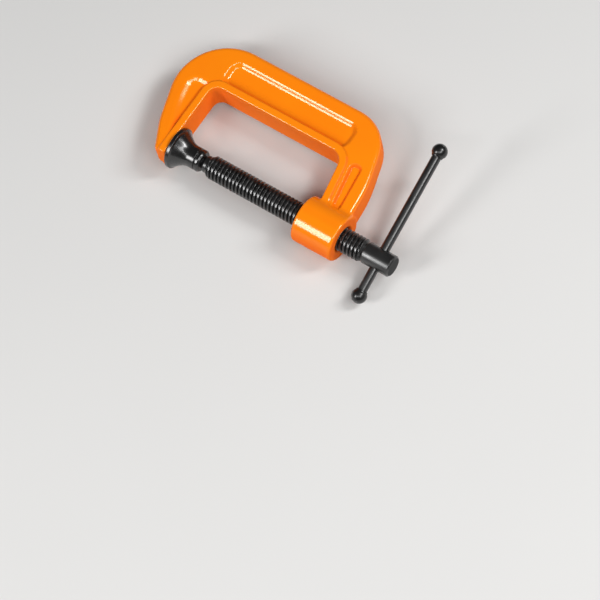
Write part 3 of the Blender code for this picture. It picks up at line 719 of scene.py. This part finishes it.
def thread_tree():
    """Geometry Nodes that wind one turn's profile along a helix and run it out at both ends."""
    tree = bpy.data.node_groups.new("screw_thread", "GeometryNodeTree")
    for label in ("Pitch", "Crest Radius", "Root Radius", "Core Radius", "Start", "End", "Run In",
                  "Root Share", "Flank Share"):
        tree.interface.new_socket(label, in_out="INPUT", socket_type="NodeSocketFloat")
    for label in ("Turns", "Facets", "Samples"):
        tree.interface.new_socket(label, in_out="INPUT", socket_type="NodeSocketInt")
    tree.interface.new_socket("Material", in_out="INPUT", socket_type="NodeSocketMaterial")
    tree.interface.new_socket("Geometry", in_out="OUTPUT", socket_type="NodeSocketGeometry")
    nodes = Nodes(tree)
    op = nodes.math
    given = nodes.add("NodeGroupInput").outputs
    columns = op("ADD", op("MULTIPLY", given["Turns"], given["Facets"]), 1.0)
    rows = op("ADD", given["Samples"], 1.0)
    grid = nodes.add("GeometryNodeMeshGrid", Size_X=1.0, Size_Y=1.0, Vertices_X=rows, Vertices_Y=columns)
    position = nodes.add("GeometryNodeInputPosition").outputs[0]
    spot = nodes.add("ShaderNodeSeparateXYZ", Vector=position).outputs
    across = op("ADD", spot[0], 0.5)
    wound = op("MULTIPLY", op("ADD", spot[1], 0.5), given["Turns"])
    turn = op("MULTIPLY", wound, 2.0 * math.pi)
    # One turn has a root flat, a rising flank, a crest flat and a falling flank, with half-eased edges
    rise = op("DIVIDE", op("SUBTRACT", across, given["Root Share"]), given["Flank Share"])
    fall = op("DIVIDE", op("SUBTRACT", 1.0, across), given["Flank Share"])
    straight = op("MINIMUM", rise, fall, clamp=True)
    eased = nodes.add("ShaderNodeMapRange", interpolation_type="SMOOTHSTEP", Value=straight).outputs[0]
    ridge = op("MULTIPLY", op("ADD", straight, eased), 0.5)
    depth = op("SUBTRACT", given["Crest Radius"], given["Root Radius"])
    radius = op("MULTIPLY_ADD", ridge, depth, given["Root Radius"])
    whole_turns = op("FLOOR", op("DIVIDE", given["Start"], given["Pitch"]))
    first = op("SUBTRACT", whole_turns, 1.0)
    counted = op("ADD", op("ADD", wound, across), first)
    along = op("MULTIPLY", counted, given["Pitch"])
    along = op("MINIMUM", op("MAXIMUM", along, given["Start"]), given["End"])
    run_in = op("SUBTRACT", along, given["Start"])
    run_out = op("SUBTRACT", given["End"], along)
    slope = op("MINIMUM", op("MULTIPLY", run_in, given["Run In"]), run_out)
    radius = op("MINIMUM", radius, op("ADD", slope, given["Core Radius"]))
    radius = op("MULTIPLY", radius, op("GREATER_THAN", slope, TINY))
    beside = op("MULTIPLY", radius, op("COSINE", turn))
    above = op("MULTIPLY", radius, op("SINE", turn))
    place = nodes.add("ShaderNodeCombineXYZ", X=along, Y=beside, Z=above).outputs[0]
    crest_power, weld = 3.0, 5 * TINY
    kept = nodes.add("GeometryNodeStoreNamedAttribute", Geometry=grid.outputs["Mesh"], Name="edge",
                     Value=op("POWER", ridge, crest_power)).outputs[0]
    moved = nodes.add("GeometryNodeSetPosition", Geometry=kept, Position=place).outputs[0]
    merged = nodes.add("GeometryNodeMergeByDistance", Geometry=moved, Distance=weld).outputs[0]
    smooth = nodes.add("GeometryNodeSetShadeSmooth", Geometry=merged).outputs[0]
    whole = nodes.add("GeometryNodeRealizeInstances", Geometry=smooth).outputs[0]
    done = nodes.add("GeometryNodeSetMaterial", Geometry=whole, Material=given["Material"]).outputs[0]
    nodes.feed(nodes.add("NodeGroupOutput").inputs[0], done)
    return tree


def apply_modifiers(item):
    """Turn what an object's modifiers make into its plain mesh."""
    bpy.context.view_layer.update()
    evaluated = item.evaluated_get(bpy.context.evaluated_depsgraph_get())
    mesh = bpy.data.meshes.new_from_object(evaluated)
    item.modifiers.clear()
    item.data = mesh
    return mesh


def wind_thread(size, material):
    """The thread as a plain mesh object."""
    tree = thread_tree()
    run_out = size.head_start + size.head_edge
    spare_turns = 2
    turns = math.ceil((run_out - size.thread_start) / size.pitch) + spare_turns
    values = {"Pitch": size.pitch, "Crest Radius": THREAD_RADIUS,
              "Root Radius": THREAD_RADIUS - size.depth, "Core Radius": size.neck - size.head_edge,
              "Start": size.thread_start, "End": run_out, "Run In": size.run_in, "Root Share": size.root,
              "Flank Share": size.flank, "Turns": turns, "Facets": size.facets, "Samples": size.samples,
              "Material": material}
    item = add_object("thread", bpy.data.meshes.new("thread_seed"))
    modifier = item.modifiers.new("thread", "NODES")
    modifier.node_group = tree
    for socket in tree.interface.items_tree:
        if socket.in_out == "INPUT":
            modifier[socket.identifier] = values[socket.name]
    mesh = apply_modifiers(item)
    shape = bmesh.new()
    shape.from_mesh(mesh)
    bmesh.ops.dissolve_degenerate(shape, edges=shape.edges, dist=TINY)
    bmesh.ops.recalc_face_normals(shape, faces=shape.faces)
    shape.to_mesh(mesh)
    shape.free()
    mesh.shade_smooth()
    return item


class CLAMP_OT_screw(bpy.types.Operator):
    """Make the screw: ball tip, neck, wound thread and plain head with its cross hole"""
    bl_idname = "clamp.screw"
    bl_label = "Screw"

    def execute(self, context):
        size = context.scene.clamp_screw
        pad = context.scene.clamp_pad
        finish = context.scene.clamp_finish
        skin = {"ripple": 1500.0, "uneven": 0.05, "rubbed": 0.12}
        black = steel_material("screw_black_oxide", finish, **skin, roughness=0.22, gloss=0.8)
        settle(wind_thread(size, black), "screw", black)
        centre = BALL_TIP_START + size.tip
        pad_end = PAD_GAP + PAD_LENGTH
        shoulder = pad_end + pad.socket_gap
        inside = size.thread_start + size.pitch
        shank = arc(centre, size.tip, math.pi, math.asin(size.stem / size.tip))
        shank += rounded([
            (shoulder, size.stem, 0.0), (shoulder + size.neck - size.stem, size.neck, size.neck_round),
            (inside, size.neck, 0.0), (inside, 0.0, 0.0)], closed=False)
        neck = add_object("screw_tip", lathe("screw_tip", shank))
        settle(neck, "screw", black)
        start, edge, soft = size.head_start, size.head_edge, size.head_round
        head = add_object("screw_head", lathe("screw_head", rounded([
            (start, 0.0, 0.0), (start, size.head - edge, soft), (start + edge, size.head, soft),
            (HEAD_END - edge, size.head, size.side_round), (HEAD_END, size.head - edge, soft),
            (HEAD_END, 0.0, 0.0)], closed=False)))
        drill_head(head, context.scene.clamp_handle.bar + size.hole_gap)
        end_face = [vert.co.x > HEAD_END - TINY for vert in head.data.vertices]
        add_attribute(head.data, "matt", end_face)
        satin = steel_material("head_black_oxide", finish, **skin, roughness=0.30, gloss=1.0,
                               film=0.85, haze=0.29)
        settle(head, "screw", satin, ["screw"])
        return {"FINISHED"}


def along_bar(place):
    """The move that lays a mesh turned round X along the bar, from a place on it."""
    turn = Vector((1.0, 0.0, 0.0)).rotation_difference((UPPER_BALL - LOWER_BALL).normalized())
    return Matrix.Translation(place) @ turn.to_matrix().to_4x4()


def drill_head(head, radius):
    """Cut the cross hole along the bar through the head."""
    reach = 3 * radius    # well past the head's sides
    hole = [(-reach, 0.0, 0.0), (-reach, radius, 0.0), (reach, radius, 0.0), (reach, 0.0, 0.0)]
    cutter = add_object("hole", lathe("hole", hole, BAR_TURN_STEPS))
    cutter.data.transform(along_bar((HOLE_PLACE, 0.0, 0.0)))
    cut = head.modifiers.new("cross_hole", "BOOLEAN")
    cut.operation = "DIFFERENCE"
    cut.solver = "EXACT"
    cut.object = cutter
    apply_modifiers(head)
    bpy.data.objects.remove(cutter, do_unlink=True)


class CLAMP_OT_pad(bpy.types.Operator):
    """Make the swivel pad: rim, flare, beaded collar and ball socket"""
    bl_idname = "clamp.pad"
    bl_label = "Swivel pad"

    def execute(self, context):
        size = context.scene.clamp_pad
        screw = context.scene.clamp_screw
        edge = size.edge
        flare_start = size.rim + edge
        flare_radius = PAD_RADIUS - 2 * edge
        outer = [(0.0, 0.0, 0.0), (0.0, PAD_RADIUS, edge), (size.rim, PAD_RADIUS, size.rim_back),
                 (flare_start, flare_radius, 0.0)]
        for step in range(1, FLARE_STEPS + 1):
            part = step / FLARE_STEPS
            rise = 1.0 - math.sin(part * math.pi / 2)
            outer.append((flare_start + (size.flare_end - flare_start) * part,
                          size.waist + (flare_radius - size.waist) * rise, 0.0))
        bead = PAD_LENGTH - size.bead - 2 * edge
        mouth = screw.stem + size.socket_gap
        socket = screw.tip + size.socket_gap
        outer += [(bead - edge, size.waist, edge / 2), (bead, size.collar, edge / 4),
                  (bead + edge, size.waist, edge / 2), (PAD_LENGTH - 2 * edge, size.waist, edge),
                  (PAD_LENGTH, size.collar, edge / 2), (PAD_LENGTH, mouth, edge / 2)]
        profile = rounded(outer, closed=False)
        profile += arc(size.socket_centre, socket, math.asin(mouth / socket), math.pi)
        mesh = lathe("pad", profile)
        mesh.transform(Matrix.Translation((PAD_GAP, 0.0, 0.0)))
        black = steel_material("pad_black_oxide", context.scene.clamp_finish, ripple=1300.0,
                               uneven=0.08, rubbed=0.35, roughness=0.20, gloss=0.9)
        settle(add_object("pad", mesh), "pad", black, ["swivel_pad"])
        return {"FINISHED"}


class CLAMP_OT_handle(bpy.types.Operator):
    """Make the handle: sliding bar with a drilled ball pressed on each end"""
    bl_idname = "clamp.handle"
    bl_label = "Handle"

    def execute(self, context):
        size = context.scene.clamp_handle
        finish = context.scene.clamp_finish
        span = (UPPER_BALL - LOWER_BALL).length
        bore = size.bar + size.fit
        cap = math.asin(size.bar / BALL_RADIUS)
        ends = arc(0.0, BALL_RADIUS, math.pi, math.pi - cap) + arc(span, BALL_RADIUS, cap, 0.0)
        bar = lathe("bar", ends, BAR_TURN_STEPS)
        bar.transform(along_bar(LOWER_BALL))
        black = steel_material("bar_black_oxide", finish, ripple=1100.0, uneven=0.08, rubbed=0.3,
                               roughness=0.28, gloss=1.0)
        settle(add_object("bar", bar), "handle", black, ["handle_bar"])
        ball_black = steel_material("ball_black_oxide", finish, ripple=1300.0, uneven=0.12, rubbed=0.4,
                                    roughness=0.28, gloss=0.5)
        sleeve = bore + size.sleeve
        swell = size.throat * size.swell
        meet = math.asin((sleeve + swell) / BALL_RADIUS)
        ball = arc(0.0, BALL_RADIUS, math.pi - math.asin(bore / BALL_RADIUS), meet, BALL_ARC_STEPS)
        last = ball[-1][0]
        for step in range(1, FILLET_STEPS + 1):
            part = step / FILLET_STEPS
            ball.append((last + size.throat * part, sleeve + swell * (1.0 - part) ** 2, 0.0))
        ball.append((last + size.throat, bore, 0.0))
        for name, place, facing in (("ball_lower", LOWER_BALL, 1.0), ("ball_upper", UPPER_BALL, -1.0)):
            profile = [(spot * facing, radius, bend) for spot, radius, bend in ball]
            mesh = lathe(name, profile, BALL_TURN_STEPS, closed=True)
            mesh.transform(along_bar(place))
            item = add_object(name, mesh)
            settle(item, "handle", ball_black, [f"handle_{name}"])
        return {"FINISHED"}


def soft_box(name, aim, offset, width, height, power):
    """A studio lamp at an offset from the point that it faces."""
    lamp = bpy.data.lights.new(name, "AREA")
    lamp.shape = "RECTANGLE"
    lamp.size = width
    lamp.size_y = height
    lamp.energy = power
    item = add_object(name, lamp)
    item.location = aim + Vector(offset)
    item.rotation_euler = (-Vector(offset)).to_track_quat("-Z", "Y").to_euler()


class CLAMP_OT_stage(bpy.types.Operator):
    """Make the floor, the soft studio lamps and the camera"""
    bl_idname = "clamp.stage"
    bl_label = "Stage"

    def execute(self, context):
        size = context.scene.clamp_stage
        low, high = (Vector(corner) for corner in CAD_BOX)
        middle = (low + high) / 2
        material, nodes, shader = new_material("pale_floor")
        place = nodes.add("ShaderNodeTexCoord").outputs["Object"]
        grain = nodes.add("ShaderNodeTexNoise", Vector=place, Scale=9.0, Detail=3.0)
        deeper = tuple(part * size.mottle for part in size.floor[:3]) + (1.0,)
        tone = nodes.mix(grain.outputs[0], tuple(size.floor), deeper)
        nodes.fill(shader, Base_Color=tone, Roughness=0.85)
        shape = bmesh.new()
        bmesh.ops.create_grid(shape, x_segments=FLOOR_STEPS, y_segments=FLOOR_STEPS,
                              size=size.floor_reach)
        mesh = bpy.data.meshes.new("floor")
        shape.to_mesh(mesh)
        shape.free()
        mesh.materials.append(material)
        floor = add_object("floor", mesh)
        floor.location.z = low.z - size.floor_gap
        world = bpy.data.worlds.new("studio")
        world.use_nodes = True
        context.scene.world = world
        back = world.node_tree.nodes["Background"]
        back.inputs["Color"].default_value = (1.0, 1.0, 1.0, 1.0)
        back.inputs["Strength"].default_value = size.world
        soft_box("left_box", middle, (-0.345, -0.705, 0.543), width=0.26, height=0.40, power=4.5)
        soft_box("front_box", middle, (0.24, -0.537, 0.809), width=0.60, height=0.14, power=2.1)
        soft_box("side_box", middle, (0.635, -0.211, 0.743), width=0.34, height=0.34, power=2.5)
        soft_box("right_box", middle, (0.608, 0.163, 0.777), width=0.44, height=0.14, power=1.9)
        soft_box("back_box", middle, (0.55, 0.43, 0.71), width=0.16, height=0.44, power=4.2)
        self.place_camera(context.scene, size, middle)
        context.scene.view_settings.view_transform = "Standard"
        return {"FINISHED"}

    def place_camera(self, scene, size, middle):
        """A long lens at the photograph's angle, turned about its own line of sight."""
        level = math.cos(size.elevation)
        back = Vector((level * math.cos(size.azimuth), level * math.sin(size.azimuth),
                       math.sin(size.elevation)))
        right = Vector((0.0, 0.0, 1.0)).cross(back).normalized()
        up = back.cross(right)
        turned_right = right * math.cos(size.roll) + up * math.sin(size.roll)
        turned_up = up * math.cos(size.roll) - right * math.sin(size.roll)
        aim = middle + turned_right * size.aim_across - turned_up * size.aim_down
        lens = bpy.data.cameras.new("camera")
        lens.sensor_width = SENSOR_WIDTH
        lens.lens = lens.sensor_width * size.distance / size.field
        lens.clip_start = CLIP_NEAR
        lens.clip_end = CLIP_FAR
        camera = add_object("camera", lens)
        pose = Matrix((turned_right, turned_up, back)).transposed().to_4x4()
        pose.translation = aim + back * size.distance
        camera.matrix_world = pose
        scene.camera = camera


class CLAMP_PT_panel(bpy.types.Panel):
    """Makers of the clamp's pieces, in the order in which they run"""
    bl_idname = "CLAMP_PT_panel"
    bl_label = "C Clamp"
    bl_space_type = "VIEW_3D"
    bl_region_type = "UI"
    bl_category = "Clamp"

    def draw(self, context):
        for maker in MAKERS:
            self.layout.operator(maker.bl_idname)


SETTINGS = {
    "clamp_casting": CastingSettings,
    "clamp_screw": ScrewSettings,
    "clamp_pad": PadSettings,
    "clamp_handle": HandleSettings,
    "clamp_finish": FinishSettings,
    "clamp_stage": StageSettings,
}
MAKERS = (CLAMP_OT_casting, CLAMP_OT_screw, CLAMP_OT_pad, CLAMP_OT_handle, CLAMP_OT_stage)


def register():
    """Add the settings, the makers and the panel to Blender."""
    for name, group in SETTINGS.items():
        bpy.utils.register_class(group)
        setattr(bpy.types.Scene, name, PointerProperty(type=group))
    for maker in MAKERS:
        bpy.utils.register_class(maker)
    bpy.utils.register_class(CLAMP_PT_panel)


def unregister():
    """Take them out again."""
    bpy.utils.unregister_class(CLAMP_PT_panel)
    for maker in reversed(MAKERS):
        bpy.utils.unregister_class(maker)
    for name, group in SETTINGS.items():
        delattr(bpy.types.Scene, name)
        bpy.utils.unregister_class(group)


def main():
    """Build the clamp."""
    register()
    bpy.ops.clamp.casting()
    bpy.ops.clamp.screw()
    bpy.ops.clamp.pad()
    bpy.ops.clamp.handle()
    bpy.ops.clamp.stage()


if __name__ == "__main__":
    main()
